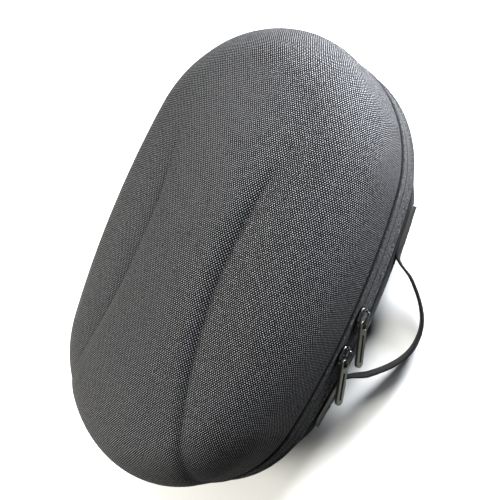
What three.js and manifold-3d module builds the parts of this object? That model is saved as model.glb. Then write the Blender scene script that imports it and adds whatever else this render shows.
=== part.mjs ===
// A hard-shell case for a virtual reality headset, in millimetres, +Z up.
// The case lies on its flat back. The origin is the centre of the flat face that it rests on,
// +X runs along its length, and -Y is the side with the handle and the zip sliders.

import * as THREE from 'three';
import { mergeVertices } from 'three/addons/utils/BufferGeometryUtils.js';
import Module from 'manifold-3d';

const wasm = await Module();
wasm.setup();

// Driving dimensions

// The oval that both shells share, seen from above: two round ends joined by two long flat arcs
const CASE_LENGTH = 348;
const CASE_WIDTH = 208;
const SIDE_ARC_RADIUS = 622;

// Heights from the floor up: base shell, zip band, lid
const BASE_HEIGHT = 36;
const BAND_HEIGHT = 24;
const LID_HEIGHT = 79;

// Shells of moulded foam under cloth
const SHELL_WALL = 4.5;
const BASE_EDGE_HEIGHT = 3;
const BASE_CORNER_REACH = 40;
const LID_WALL_HEIGHT = 30.5;
const LID_SHOULDER_RADIUS = 38;

// The two creases of the lid: half the width between them at the middle, how far each has spread
// at 100 mm along the length, and the form of the valley across it
const CREASE_HALF_WIDTH = 39;
const CREASE_SPREAD = 13.7;
const CREASE_DEPTH = 4.5;
const CREASE_TAIL_DEPTH = 1.4;
const CREASE_HEAD_DEPTH = 0.3;
const CREASE_PANEL_REACH = 13;
const CREASE_FLANK_REACH = 28;
const CREASE_FADE_HEIGHT = 42;

// Zip band
const TAPE_THICKNESS = 1.5;
const TAPE_INSET = 1.2;
const TAPE_BEVEL = 0.9;
const TAPE_BEVEL_HEIGHT = 2;
const SEAM_GAP = 1;
const LIP_HEIGHT = 8;
const CHAIN_THICKNESS = 2;
const HINGE_HALF_LENGTH = 70;
const CLEARANCE = 0.3;

// Handle strap, with a tab on the base's wall at each end of a free arch
const HANDLE_CENTRE_X = 3;
const HANDLE_HALF_SPAN = 53;
const HANDLE_TAB_LENGTH = 37;
const HANDLE_ARCH_REACH = 34;
const HANDLE_TILT = 25;
const HANDLE_WIDTH = 18;
const HANDLE_THICKNESS = 2.3;
const HANDLE_BEVEL = 0.5;
const HANDLE_DROP = 11;

// Zip sliders, and the pull tab that each one's bridge carries
const SLIDER_LENGTH = 15;
const SLIDER_WIDTH = 9.5;
const SLIDER_HEIGHT = 2.9;
const BRIDGE_OPENING = 8.5;
const BRIDGE_HEADROOM = 3.3;
const BRIDGE_BAR = 1.3;
const BRIDGE_WIDTH = 2.6;
const PULL_LENGTH = 33;
const PULL_WIDTH = 7.2;
const PULL_THICKNESS = 2.2;
const PULL_EYE_LENGTH = 4.6;
const PULL_EYE_WIDTH = 4;
const PULL_EYE_CORNER = 0.8;
const PULL_EYE_BAR = 1.8;
const PULL_GROOVE_WIDTH = 2.2;
const PULL_GROOVE_DEPTH = 0.5;
const PULL_DROOP = 8;
const SLIDERS = [
  { name: '1', x: 3.5, lift: 15 },
  { name: '2', x: -26.5, lift: 15 },
];

// Sizes that follow from the driving dimensions

const RIM_Z = BASE_HEIGHT + BAND_HEIGHT;
const SEAM_Z = BASE_HEIGHT + BAND_HEIGHT / 2;
const CREST_Z = RIM_Z + LID_HEIGHT;
const LIP_INSET = TAPE_INSET + TAPE_THICKNESS + CLEARANCE;
const HALF_LENGTH = CASE_LENGTH / 2;
const HALF_WIDTH = CASE_WIDTH / 2;
const END_ARC_RADIUS = (HALF_LENGTH ** 2 + HALF_WIDTH ** 2 - 2 * SIDE_ARC_RADIUS * HALF_WIDTH)
  / (2 * HALF_LENGTH - 2 * SIDE_ARC_RADIUS);
const END_ARC_X = HALF_LENGTH - END_ARC_RADIUS;
const SIDE_ARC_Y = SIDE_ARC_RADIUS - HALF_WIDTH;
const ARC_JOIN_ANGLE = Math.atan2(SIDE_ARC_Y, END_ARC_X);
const QUARTER = Math.PI / 2;

const radians = THREE.MathUtils.degToRad;
const lerp = THREE.MathUtils.lerp;
const smoothstep = THREE.MathUtils.smoothstep;

// The oval. A place on it is named by the direction that the oval faces there, as an angle
// from +X, and by how far inside the outline it lies.

function outward(angle) {
  return new THREE.Vector3(Math.cos(angle), Math.sin(angle), 0);
}

function ovalPoint(angle, inset, z) {
  const normal = outward(angle);
  const onEnd = Math.abs(normal.y) < Math.sin(ARC_JOIN_ANGLE);
  const centre = onEnd
    ? new THREE.Vector3(Math.sign(normal.x) * END_ARC_X, 0, z)
    : new THREE.Vector3(0, -Math.sign(normal.y) * SIDE_ARC_Y, z);
  const radius = (onEnd ? END_ARC_RADIUS : SIDE_ARC_RADIUS) - inset;
  return centre.addScaledVector(normal, radius);
}

// The angle at which a point of the long side facing +Y lies at the distance x along the length
function sideAngle(x, inset) {
  return Math.acos(x / (SIDE_ARC_RADIUS - inset));
}

// One quarter's angles repeated round the whole oval, counter-clockwise from +X
function wholeTurn(quarter) {
  const half = [...quarter, ...quarter.slice(0, -1).reverse().map((angle) => Math.PI - angle)];
  return [...half, ...half.slice(1, -1).reverse().map((angle) => 2 * Math.PI - angle)];
}

const END_STEPS = 9;
const SIDE_STEPS = 3;

function steps(from, to, count) {
  return Array.from({ length: count }, (_, i) => lerp(from, to, (i + 1) / count));
}

const PLAIN_QUARTER = [
  0,
  ...steps(0, ARC_JOIN_ANGLE, END_STEPS),
  ...steps(ARC_JOIN_ANGLE, QUARTER, SIDE_STEPS),
];
const PLAIN_TURN = wholeTurn(PLAIN_QUARTER);

// Meshes

// One closed mesh from rings of points that all run the same way round. The first and the last
// ring shrink to a point, or the rings are open strips whose ends the caps close.
function geometryOf(points, triangles) {
  const geometry = new THREE.BufferGeometry();
  const positions = points.flatMap((point) => point.toArray());
  geometry.setAttribute('position', new THREE.Float32BufferAttribute(positions, 3));
  geometry.setIndex(triangles.flat());
  return withoutSlivers(mergeVertices(geometry, 1e-3));
}

// Triangles whose corners merged into one another are dropped
function withoutSlivers(geometry) {
  const index = geometry.getIndex().array;
  const kept = [];
  for (let i = 0; i < index.length; i += 3) {
    const [a, b, c] = [index[i], index[i + 1], index[i + 2]];
    if (a !== b && b !== c && c !== a) kept.push(a, b, c);
  }
  geometry.setIndex(kept);
  return geometry;
}

function skin(rings) {
  const count = rings[0].length;
  const triangles = [];
  for (let r = 0; r + 1 < rings.length; r += 1) {
    for (let i = 0; i < count; i += 1) {
      const a = r * count + i;
      const b = r * count + ((i + 1) % count);
      triangles.push([a, b, a + count], [b, b + count, a + count]);
    }
  }
  return geometryOf(rings.flat(), triangles);
}

// A solid swept through sections of equal count, closed by a fan at each end
function sweep(sections) {
  const count = sections[0].length;
  const triangles = [];
  for (let s = 0; s + 1 < sections.length; s += 1) {
    for (let i = 0; i < count; i += 1) {
      const a = s * count + i;
      const b = s * count + ((i + 1) % count);
      triangles.push([a, b, a + count], [b, b + count, a + count]);
    }
  }
  const last = (sections.length - 1) * count;
  for (let i = 1; i + 1 < count; i += 1) {
    triangles.push([0, i + 1, i], [last, last + i, last + i + 1]);
  }
  return geometryOf(sections.flat(), triangles);
}

function toManifold(geometry) {
  const bare = geometry.clone();
  bare.deleteAttribute('normal');
  bare.deleteAttribute('uv');
  const merged = mergeVertices(bare, 1e-4);
  return new wasm.Manifold(new wasm.Mesh({
    numProp: 3,
    vertProperties: new Float32Array(merged.getAttribute('position').array),
    triVerts: new Uint32Array(merged.getIndex().array),
  }));
}

function fromManifold(solid) {
  const mesh = solid.getMesh();
  const geometry = new THREE.BufferGeometry();
  geometry.setAttribute('position', new THREE.BufferAttribute(mesh.vertProperties, 3));
  geometry.setIndex(new THREE.BufferAttribute(mesh.triVerts, 1));
  return geometry;
}

// Base shell

// The corner between wall and bottom is a quarter of an ellipse, and the angle on it runs from
// 0 at the wall to 90 degrees at the bottom
const BASE_CORNER_DROP = BASE_HEIGHT - BASE_EDGE_HEIGHT;

function baseCorner(turn, wall) {
  return {
    inset: BASE_CORNER_REACH - (BASE_CORNER_REACH - wall) * Math.cos(turn),
    z: BASE_CORNER_DROP - (BASE_CORNER_DROP - wall) * Math.sin(turn),
  };
}

function ring(angles, { inset, z }) {
  return angles.map((angle) => ovalPoint(angle, inset, z));
}

function centrePoint(angles, z) {
  return angles.map(() => new THREE.Vector3(0, 0, z));
}

function baseShell() {
  const cornerSteps = 6;
  const turns = steps(0, QUARTER, cornerSteps);
  const outer = [{ inset: 0, z: BASE_CORNER_DROP }, ...turns.map((turn) => baseCorner(turn, 0))];
  const inner = [
    { inset: SHELL_WALL, z: BASE_CORNER_DROP },
    ...turns.map((turn) => baseCorner(turn, SHELL_WALL)),
  ];
  const profile = [
    ...outer.reverse(),
    { inset: 0, z: BASE_HEIGHT },
    { inset: LIP_INSET, z: BASE_HEIGHT },
    { inset: LIP_INSET, z: BASE_HEIGHT + LIP_HEIGHT },
    { inset: SHELL_WALL, z: BASE_HEIGHT + LIP_HEIGHT },
    ...inner,
  ];
  return skin([
    centrePoint(PLAIN_TURN, 0),
    ...profile.map((place) => ring(PLAIN_TURN, place)),
    centrePoint(PLAIN_TURN, SHELL_WALL),
  ]);
}

// Lid shell

// A crease runs along the length at this distance from the middle line
function creaseY(x) {
  return CREASE_HALF_WIDTH + CREASE_SPREAD * (x / 100) ** 2;
}

// How deep the surface sinks at a point: a steep roll on the middle panel's side of the crease
// and a long slope on the flank's side. The valley grows shallow towards the -X end, all but
// vanishes towards the +X end, and fades out towards the rim.
function creaseSink(point) {
  const slope = 2 * CREASE_SPREAD * point.x / 100 ** 2;
  const across = (Math.abs(point.y) - creaseY(point.x)) / Math.hypot(1, slope);
  const reach = across < 0 ? CREASE_PANEL_REACH : CREASE_FLANK_REACH;
  const share = Math.max(0, 1 - Math.abs(across) / reach);
  const place = point.x / HALF_LENGTH;
  const depth = place < 0
    ? lerp(CREASE_DEPTH, CREASE_TAIL_DEPTH, smoothstep(-place, 0.25, 0.8))
    : lerp(CREASE_DEPTH, CREASE_HEAD_DEPTH, smoothstep(place, 0.1, 0.6));
  return depth * share ** 2 * smoothstep(point.z - RIM_Z, 0, CREASE_FADE_HEIGHT);
}

// The angle at which the crease crosses the oval that lies inside the outline by the inset
function creaseAngle(inset) {
  let low = 0;
  let high = QUARTER;
  for (let i = 0; i < 40; i += 1) {
    const middle = (low + high) / 2;
    const point = ovalPoint(middle, inset, 0);
    if (point.y > creaseY(point.x)) high = middle;
    else low = middle;
  }
  return low;
}

// Above the shoulder the lid is a dome: its height falls with the square of the share of the way
// from the centre to the shoulder's edge. The shoulder's arc turns until its slope meets the
// dome's.
function domeAt(angle) {
  const normal = outward(angle);
  let slope = 0;
  let edge;
  for (let i = 0; i < 8; i += 1) {
    const inset = LID_SHOULDER_RADIUS * (1 - Math.sin(slope));
    const z = RIM_Z + LID_WALL_HEIGHT + LID_SHOULDER_RADIUS * Math.cos(slope);
    edge = ovalPoint(angle, inset, z);
    slope = Math.atan2(2 * (CREST_Z - z), edge.x * normal.x + edge.y * normal.y);
  }
  return { edge, slope, normal };
}

const DOME_SLOPE = Math.max(domeAt(QUARTER).slope, domeAt(0).slope);
const SHOULDER_EDGE_INSET = LID_SHOULDER_RADIUS * (1 - Math.sin(DOME_SLOPE));

// Shares of the way from the middle of an end to the crease, and from there to the long side.
// The columns follow the crease up the wall and over the shoulder.
const PANEL_COLUMNS = [0, 0.22, 0.44, 0.66, 0.84, 1];
const FLANK_COLUMNS = [0.16, 0.36, 0.57, 0.78, 1];

function lidAngles(inset) {
  const crease = creaseAngle(Math.min(inset, SHOULDER_EDGE_INSET));
  return wholeTurn([
    ...PANEL_COLUMNS.map((share) => share * crease),
    ...FLANK_COLUMNS.map((share) => lerp(crease, ARC_JOIN_ANGLE, share)),
    ...steps(ARC_JOIN_ANGLE, QUARTER, SIDE_STEPS),
  ]);
}

// A point of the lid's surface, sunk by the crease and then moved inwards by the wall
function shellPoint(point, normal, depth) {
  return point.addScaledVector(normal, -depth - creaseSink(point));
}

function wallRing(height, depth) {
  return lidAngles(0).map((angle) => (
    shellPoint(ovalPoint(angle, 0, RIM_Z + height), outward(angle), depth)
  ));
}

function shoulderRing(share, depth) {
  const nominalTurn = share * (QUARTER - DOME_SLOPE);
  const angles = lidAngles(LID_SHOULDER_RADIUS * (1 - Math.cos(nominalTurn)));
  return angles.map((angle) => {
    const turn = share * (QUARTER - domeAt(angle).slope);
    const inset = LID_SHOULDER_RADIUS * (1 - Math.cos(turn));
    const z = RIM_Z + LID_WALL_HEIGHT + LID_SHOULDER_RADIUS * Math.sin(turn);
    const normal = outward(angle).multiplyScalar(Math.cos(turn)).setZ(Math.sin(turn));
    return shellPoint(ovalPoint(angle, inset, z), normal, depth);
  });
}

// The share of the way out from the centre at which the crease crosses the line to the edge
function creaseShare(edge) {
  if (Math.abs(edge.y) <= creaseY(edge.x)) return 1;
  const square = CREASE_SPREAD * (edge.x / 100) ** 2;
  const root = Math.sqrt(edge.y ** 2 - 4 * CREASE_HALF_WIDTH * square);
  return 2 * CREASE_HALF_WIDTH / (Math.abs(edge.y) + root);
}

// Rings of the dome: across is the distance from the crease towards the rim as a share of the
// valley's reach, and share is the part of the way from the centre to the valley's inner edge
const DOME_RINGS = [
  { across: 0.55 },
  { across: 0.25 },
  { across: 0 },
  { across: -0.45 },
  { across: -1 },
  { share: 2 / 3 },
  { share: 1 / 3 },
];

function domeShare(place, edge, support) {
  const crease = creaseShare(edge);
  const valley = Math.max(0, crease - CREASE_PANEL_REACH / support);
  if (place.share !== undefined) return place.share * valley;
  const reach = place.across < 0 ? CREASE_PANEL_REACH : CREASE_FLANK_REACH;
  return Math.min(1, crease + place.across * reach / support);
}

function domeRing(place, depth) {
  return lidAngles(SHOULDER_EDGE_INSET).map((angle) => {
    const { edge, slope, normal } = domeAt(angle);
    const support = edge.x * normal.x + edge.y * normal.y;
    const share = domeShare(place, edge, support);
    const point = edge.clone().multiplyScalar(share);
    point.z = CREST_Z - (CREST_Z - edge.z) * share ** 2;
    const fall = Math.atan(Math.tan(slope) * share);
    const up = normal.multiplyScalar(Math.sin(fall)).setZ(Math.cos(fall));
    return shellPoint(point, up, depth);
  });
}

const PLAIN_COLUMNS = lidAngles(0);

function lidShell() {
  const shoulderShares = [0.2, 0.4, 0.6, 0.8, 1];
  const surface = (depth) => [
    wallRing(LID_WALL_HEIGHT / 2, depth),
    wallRing(LID_WALL_HEIGHT, depth),
    ...shoulderShares.map((share) => shoulderRing(share, depth)),
    ...DOME_RINGS.map((place) => domeRing(place, depth)),
    centrePoint(PLAIN_COLUMNS, CREST_Z - depth),
  ];
  const mouth = [
    { inset: SHELL_WALL, z: RIM_Z - LIP_HEIGHT },
    { inset: LIP_INSET, z: RIM_Z - LIP_HEIGHT },
    { inset: LIP_INSET, z: RIM_Z },
    { inset: 0, z: RIM_Z },
  ];
  return skin([
    ...surface(SHELL_WALL).reverse(),
    ...mouth.map((place) => ring(PLAIN_COLUMNS, place)),
    ...surface(0),
  ]);
}

// Zip band and hinge strip

// Sections of the band as inset and height above the base's edge, counter-clockwise as seen
// looking along the sweep
const TAPE_OUTER = TAPE_INSET;
const TAPE_INNER = TAPE_INSET + TAPE_THICKNESS;
const TAPE_HEIGHT = (BAND_HEIGHT - SEAM_GAP) / 2;
const GROOVE = 2 * CLEARANCE;

const LOWER_TAPE_SECTION = [
  { inset: TAPE_INNER, z: BASE_HEIGHT + GROOVE },
  { inset: TAPE_OUTER + TAPE_BEVEL, z: BASE_HEIGHT + GROOVE },
  { inset: TAPE_OUTER, z: BASE_HEIGHT + GROOVE + TAPE_BEVEL_HEIGHT },
  { inset: TAPE_OUTER, z: BASE_HEIGHT + TAPE_HEIGHT },
  { inset: TAPE_INNER, z: BASE_HEIGHT + TAPE_HEIGHT },
];

// The upper tape mirrors the lower one in the seam
const UPPER_TAPE_SECTION = LOWER_TAPE_SECTION
  .map(({ inset, z }) => ({ inset, z: 2 * SEAM_Z - z }))
  .reverse();

const CHAIN_SECTION = [
  { inset: LIP_INSET + CHAIN_THICKNESS, z: BASE_HEIGHT + LIP_HEIGHT + CLEARANCE },
  { inset: LIP_INSET, z: BASE_HEIGHT + LIP_HEIGHT + CLEARANCE },
  { inset: LIP_INSET, z: RIM_Z - LIP_HEIGHT - CLEARANCE },
  { inset: LIP_INSET + CHAIN_THICKNESS, z: RIM_Z - LIP_HEIGHT - CLEARANCE },
];

const HINGE_SECTION = [
  ...LOWER_TAPE_SECTION.slice(0, 3),
  ...UPPER_TAPE_SECTION.slice(2),
];

// Stations from one end of the zip round the handle's side to the other end
const ZIP_END_ANGLE = sideAngle(HINGE_HALF_LENGTH + CLEARANCE, TAPE_INNER);
const ZIP_STATIONS = [
  ZIP_END_ANGLE,
  ...PLAIN_QUARTER.filter((angle) => angle < ZIP_END_ANGLE - radians(1)).reverse(),
  ...PLAIN_QUARTER.slice(1).map((angle) => -angle),
  ...PLAIN_QUARTER.slice(0, -1).reverse().map((angle) => angle - Math.PI),
  ...PLAIN_QUARTER.slice(1).filter((angle) => angle < ZIP_END_ANGLE - radians(1))
    .map((angle) => -Math.PI - angle),
  -Math.PI - ZIP_END_ANGLE,
];

function band(stations, section) {
  return sweep(stations.map((angle) => ring([angle], section[0]).concat(
    section.slice(1).map(({ inset, z }) => ovalPoint(angle, inset, z)),
  )));
}

function hingeStrip() {
  const end = sideAngle(HINGE_HALF_LENGTH, TAPE_INNER);
  const stations = [Math.PI - end, ...steps(Math.PI - end, end, 5)];
  return band(stations, HINGE_SECTION);
}

// Handle

const HANDLE_Z = BASE_HEIGHT - HANDLE_DROP;

// The base's wall at a height: how far in it lies, and how far it faces downwards
function baseWall(z) {
  const turn = Math.asin(Math.max(0, (BASE_CORNER_DROP - z) / BASE_CORNER_DROP));
  return {
    inset: baseCorner(turn, 0).inset,
    tilt: Math.atan2(Math.sin(turn) * BASE_CORNER_REACH, Math.cos(turn) * BASE_CORNER_DROP),
  };
}

// A point of the strap where it lies on the wall: v across its width and o out from the wall
function tabPoint(x, v, o) {
  const middle = baseWall(HANDLE_Z);
  const z = HANDLE_Z + v * Math.cos(middle.tilt);
  const wall = baseWall(z);
  const angle = -sideAngle(x, wall.inset);
  const normal = outward(angle).multiplyScalar(Math.cos(wall.tilt)).setZ(-Math.sin(wall.tilt));
  return ovalPoint(angle, wall.inset, z).addScaledVector(normal, o);
}

// The free arch leaves the wall at full span and stands furthest out in the middle
const ARCH_FULLNESS = 2.2;
const ARCH_EASE = 1.45;

function archOut(x) {
  const share = Math.min(1, Math.abs(x - HANDLE_CENTRE_X) / HANDLE_HALF_SPAN);
  return HANDLE_ARCH_REACH * (1 - share ** ARCH_FULLNESS) ** ARCH_EASE;
}

function archCentre(x) {
  const tilt = radians(HANDLE_TILT);
  const out = new THREE.Vector3(0, -Math.cos(tilt), -Math.sin(tilt));
  return tabPoint(x, 0, 0).addScaledVector(out, archOut(x));
}

function archPoint(x, v, o) {
  const tilt = radians(HANDLE_TILT);
  const across = new THREE.Vector3(0, -Math.sin(tilt), Math.cos(tilt));
  const along = archCentre(x + 0.5).sub(archCentre(x - 0.5)).normalize();
  const normal = new THREE.Vector3().crossVectors(across, along).negate();
  return archCentre(x).addScaledVector(across, v).addScaledVector(normal, o);
}

// Over the first part of the arch the strap turns from the wall's form to its own flat one
const HANDLE_BLEND = 16;

function strapPoint(x, v, o) {
  const past = HANDLE_HALF_SPAN - Math.abs(x - HANDLE_CENTRE_X);
  const free = smoothstep(past, 0, HANDLE_BLEND);
  return tabPoint(x, v, o).lerp(archPoint(x, v, o), free);
}

// The tabs end in round corners: the share of the half width that is left near the tip
const TAB_END = [
  { back: 0, share: 0.4 },
  { back: 1.5, share: 0.72 },
  { back: 4.5, share: 0.94 },
  { back: 9, share: 1 },
];
const TAB_STEPS = 3;
const ARCH_STEPS = 26;

function handleStations() {
  const tip = HANDLE_HALF_SPAN + HANDLE_TAB_LENGTH;
  const end = TAB_END.map(({ back, share }) => ({ reach: tip - back, share }));
  const tab = steps(end[end.length - 1].reach, HANDLE_HALF_SPAN, TAB_STEPS)
    .map((reach) => ({ reach, share: 1 }));
  const arch = steps(HANDLE_HALF_SPAN, -HANDLE_HALF_SPAN, ARCH_STEPS)
    .map((reach) => ({ reach, share: 1 }));
  const far = [...end, ...tab.slice(0, -1)].reverse()
    .map(({ reach, share }) => ({ reach: -reach, share }));
  return [...end, ...tab, ...arch, ...far];
}

function handle() {
  const near = CLEARANCE;
  const far = CLEARANCE + HANDLE_THICKNESS;
  const corner = HANDLE_BEVEL;
  return sweep(handleStations().map(({ reach, share }) => {
    const x = HANDLE_CENTRE_X + reach;
    const half = HANDLE_WIDTH / 2 * share;
    const flat = half - corner;
    return [
      [-flat, near], [-half, near + corner], [-half, far - corner], [-flat, far],
      [0, far],
      [flat, far], [half, far - corner], [half, near + corner], [flat, near],
      [0, near],
    ].map(([v, o]) => strapPoint(x, v, o));
  }));
}

// Sliders and pull tabs

// A flat outline along X, centred on the given place. Its corners are round, and without a
// corner radius its ends are half circles.
function roundBar(centreX, length, width, corner = width / 2) {
  const right = centreX + length / 2 - corner;
  const left = centreX - length / 2 + corner;
  const top = width / 2 - corner;
  const shape = new THREE.Shape();
  shape.absarc(right, -top, corner, -QUARTER, 0, false);
  shape.absarc(right, top, corner, 0, QUARTER, false);
  shape.absarc(left, top, corner, QUARTER, 2 * QUARTER, false);
  shape.absarc(left, -top, corner, 2 * QUARTER, 3 * QUARTER, false);
  shape.closePath();
  return shape;
}

const SLIDER_BEVEL = 0.8;
const BRIDGE_ROUND = 1.5;
const BRIDGE_ROOT = 1;

// The bridge is an arch seen from the side, with legs that root in the slider's body
function bridgeOutline() {
  const inner = BRIDGE_OPENING / 2;
  const outer = inner + BRIDGE_BAR;
  const foot = SLIDER_HEIGHT - BRIDGE_ROOT;
  const ceiling = SLIDER_HEIGHT + BRIDGE_HEADROOM;
  const crown = ceiling + BRIDGE_BAR;
  const outerRound = BRIDGE_ROUND + BRIDGE_BAR;
  const shape = new THREE.Shape();
  shape.moveTo(outer, foot);
  shape.lineTo(outer, crown - outerRound);
  shape.absarc(outer - outerRound, crown - outerRound, outerRound, 0, QUARTER, false);
  shape.absarc(outerRound - outer, crown - outerRound, outerRound, QUARTER, 2 * QUARTER, false);
  shape.lineTo(-outer, foot);
  shape.lineTo(-inner, foot);
  shape.absarc(BRIDGE_ROUND - inner, ceiling - BRIDGE_ROUND, BRIDGE_ROUND,
    2 * QUARTER, QUARTER, true);
  shape.absarc(inner - BRIDGE_ROUND, ceiling - BRIDGE_ROUND, BRIDGE_ROUND, QUARTER, 0, true);
  shape.lineTo(inner, foot);
  shape.closePath();
  return shape;
}

// The slider in its own frame: X along the zip, Y across it, Z out from the tape
function slider() {
  const body = new THREE.ExtrudeGeometry(roundBar(0, SLIDER_LENGTH - 2 * SLIDER_BEVEL,
    SLIDER_WIDTH - 2 * SLIDER_BEVEL), {
    depth: SLIDER_HEIGHT - 2 * SLIDER_BEVEL,
    bevelThickness: SLIDER_BEVEL,
    bevelSize: SLIDER_BEVEL,
    bevelSegments: 2,
    curveSegments: 5,
  }).translate(0, 0, SLIDER_BEVEL);
  const bridge = new THREE.ExtrudeGeometry(bridgeOutline(), {
    depth: BRIDGE_WIDTH,
    bevelEnabled: false,
    curveSegments: 4,
  }).rotateX(QUARTER).translate(0, BRIDGE_WIDTH / 2, 0);
  return fromManifold(toManifold(body).add(toManifold(bridge)));
}

// The pull hinges on the middle of its eye's end bar, in the corner of the bridge
const PIVOT_X = -(BRIDGE_OPENING / 2 - PULL_THICKNESS * 0.75);
const PIVOT_Z = SLIDER_HEIGHT + BRIDGE_HEADROOM / 2;
const PULL_BEVEL = 0.4;
const PULL_TIP = PULL_LENGTH;
const PULL_HEEL = -PULL_EYE_BAR / 2;

// The pull in its own frame: its length runs along -X from the pivot, Y across, Z outwards
function pull() {
  const length = PULL_TIP - PULL_HEEL;
  const centre = -(PULL_TIP + PULL_HEEL) / 2;
  const outline = roundBar(centre, length - 2 * PULL_BEVEL, PULL_WIDTH - 2 * PULL_BEVEL);
  const bar = new THREE.ExtrudeGeometry(outline, {
    depth: PULL_THICKNESS - 2 * PULL_BEVEL,
    bevelThickness: PULL_BEVEL,
    bevelSize: PULL_BEVEL,
    bevelSegments: 1,
    curveSegments: 5,
  }).translate(0, 0, PULL_BEVEL - PULL_THICKNESS / 2);
  const eyeCentre = -(PULL_EYE_BAR + PULL_EYE_LENGTH) / 2;
  const eyeOutline = roundBar(eyeCentre, PULL_EYE_LENGTH, PULL_EYE_WIDTH, PULL_EYE_CORNER);
  const eye = new THREE.ExtrudeGeometry(eyeOutline, {
    depth: 2 * PULL_THICKNESS,
    bevelEnabled: false,
    curveSegments: 3,
  }).translate(0, 0, -PULL_THICKNESS);
  const grooveFrom = -(PULL_EYE_BAR / 2 + PULL_EYE_LENGTH + PULL_WIDTH / 2);
  const grooveTo = -(PULL_TIP - PULL_WIDTH / 2);
  const groove = new THREE.ExtrudeGeometry(
    roundBar((grooveFrom + grooveTo) / 2, grooveFrom - grooveTo, PULL_GROOVE_WIDTH),
    { depth: PULL_THICKNESS, bevelEnabled: false, curveSegments: 3 },
  ).translate(0, 0, PULL_THICKNESS / 2 - PULL_GROOVE_DEPTH);
  return fromManifold(toManifold(bar).subtract(toManifold(eye)).subtract(toManifold(groove)));
}

// A frame on the zip's seam at the distance x along the handle's side: X along the zip,
// Y across it and upwards, Z out from the tape
function seamFrame(x) {
  const frame = new THREE.Group();
  const angle = -sideAngle(x, TAPE_INSET);
  const out = outward(angle);
  const up = new THREE.Vector3(0, 0, 1);
  const along = new THREE.Vector3().crossVectors(up, out);
  frame.position.copy(ovalPoint(angle, TAPE_INSET - CLEARANCE, SEAM_Z));
  frame.quaternion.setFromRotationMatrix(new THREE.Matrix4().makeBasis(along, up, out));
  return frame;
}

// Materials

const lidCloth = new THREE.MeshStandardMaterial({ color: 0x4a4c50, roughness: 0.85 });
const baseCloth = new THREE.MeshStandardMaterial({ color: 0x1d1f24, roughness: 0.8 });
const tapeKnit = new THREE.MeshStandardMaterial({ color: 0x34373b, roughness: 0.95 });
const coil = new THREE.MeshStandardMaterial({ color: 0x17181a, roughness: 0.6 });
const rubber = new THREE.MeshStandardMaterial({ color: 0x2b2d2d, roughness: 0.45 });
const blackMetal = new THREE.MeshStandardMaterial({
  color: 0x141518, roughness: 0.25, metalness: 0.9,
});
const gunmetal = new THREE.MeshStandardMaterial({
  color: 0x55574f, roughness: 0.35, metalness: 0.9,
});

// Assembly

function part(name, geometry, material) {
  const mesh = new THREE.Mesh(geometry, material);
  mesh.name = name;
  return mesh;
}

const group = new THREE.Group();
group.add(
  part('base_shell', baseShell(), baseCloth),
  part('lid_shell', lidShell(), lidCloth),
  part('zip_tape_lower', band(ZIP_STATIONS, LOWER_TAPE_SECTION), tapeKnit),
  part('zip_tape_upper', band(ZIP_STATIONS, UPPER_TAPE_SECTION), tapeKnit),
  part('zip_chain', band(ZIP_STATIONS, CHAIN_SECTION), coil),
  part('hinge_strip', hingeStrip(), tapeKnit),
  part('handle', handle(), rubber),
);

for (const { name, x, lift } of SLIDERS) {
  const frame = seamFrame(x);
  frame.add(part(`slider_${name}`, slider(), blackMetal));
  const tab = part(`pull_${name}`, pull(), gunmetal);
  tab.position.set(PIVOT_X, 0, PIVOT_Z);
  tab.rotation.set(0, radians(lift), radians(PULL_DROOP), 'ZYX');
  frame.add(tab);
  group.add(frame);
}

export default group;
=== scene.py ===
# The looks of a hard case for a virtual reality headset, in metres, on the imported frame.
# Lengths below are in millimetres, and every mesh is scaled to metres when it is made.

import math

import bmesh
import bpy
import numpy as np
from mathutils import Matrix, Vector


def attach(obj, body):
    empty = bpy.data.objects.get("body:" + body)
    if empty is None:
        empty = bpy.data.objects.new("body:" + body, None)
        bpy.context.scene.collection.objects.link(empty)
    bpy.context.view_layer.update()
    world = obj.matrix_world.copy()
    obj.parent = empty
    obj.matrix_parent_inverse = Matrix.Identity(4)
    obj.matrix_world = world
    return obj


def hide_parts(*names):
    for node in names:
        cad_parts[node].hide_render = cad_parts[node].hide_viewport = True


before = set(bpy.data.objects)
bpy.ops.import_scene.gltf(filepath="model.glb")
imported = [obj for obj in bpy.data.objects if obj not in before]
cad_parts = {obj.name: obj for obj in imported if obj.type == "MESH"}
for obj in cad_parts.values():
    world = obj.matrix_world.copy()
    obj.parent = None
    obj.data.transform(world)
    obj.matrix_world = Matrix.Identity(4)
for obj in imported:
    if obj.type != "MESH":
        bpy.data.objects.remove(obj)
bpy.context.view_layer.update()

# The oval that both shells share: two round ends joined by two long flat arcs
HALF_LENGTH = 174.0
HALF_WIDTH = 104.0
SIDE_R = 622.0
END_R = (HALF_LENGTH**2 + HALF_WIDTH**2 - 2 * SIDE_R * HALF_WIDTH) / (2 * HALF_LENGTH - 2 * SIDE_R)
END_X = HALF_LENGTH - END_R
SIDE_Y = SIDE_R - HALF_WIDTH
JOIN = math.atan2(SIDE_Y, END_X)

# Heights from the floor up, and the shells
BASE_Z = 36.0
RIM_Z = 60.0
SEAM_Z = 48.0
CREST_Z = 139.0
WALL = 4.5
BASE_EDGE = 3.0
CORNER_REACH = 40.0
CORNER_DROP = BASE_Z - BASE_EDGE
END_TUCK = 7.6
LID_WALL = 30.5
SHOULDER = 38.0

# The lid's rolled lower edge, as insets and heights above the rim, and the heights below which its
# cloth is darkened with painted shade for the groove above the zip band
LID_EDGE = 3.2
LID_ROLL = [(0.12, 2.4), (0.45, 1.4), (1.0, 0.6), (1.8, 0.1)]
LID_EDGE_SHADE = (RIM_Z + 1.0, RIM_Z + 2.6)

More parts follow.
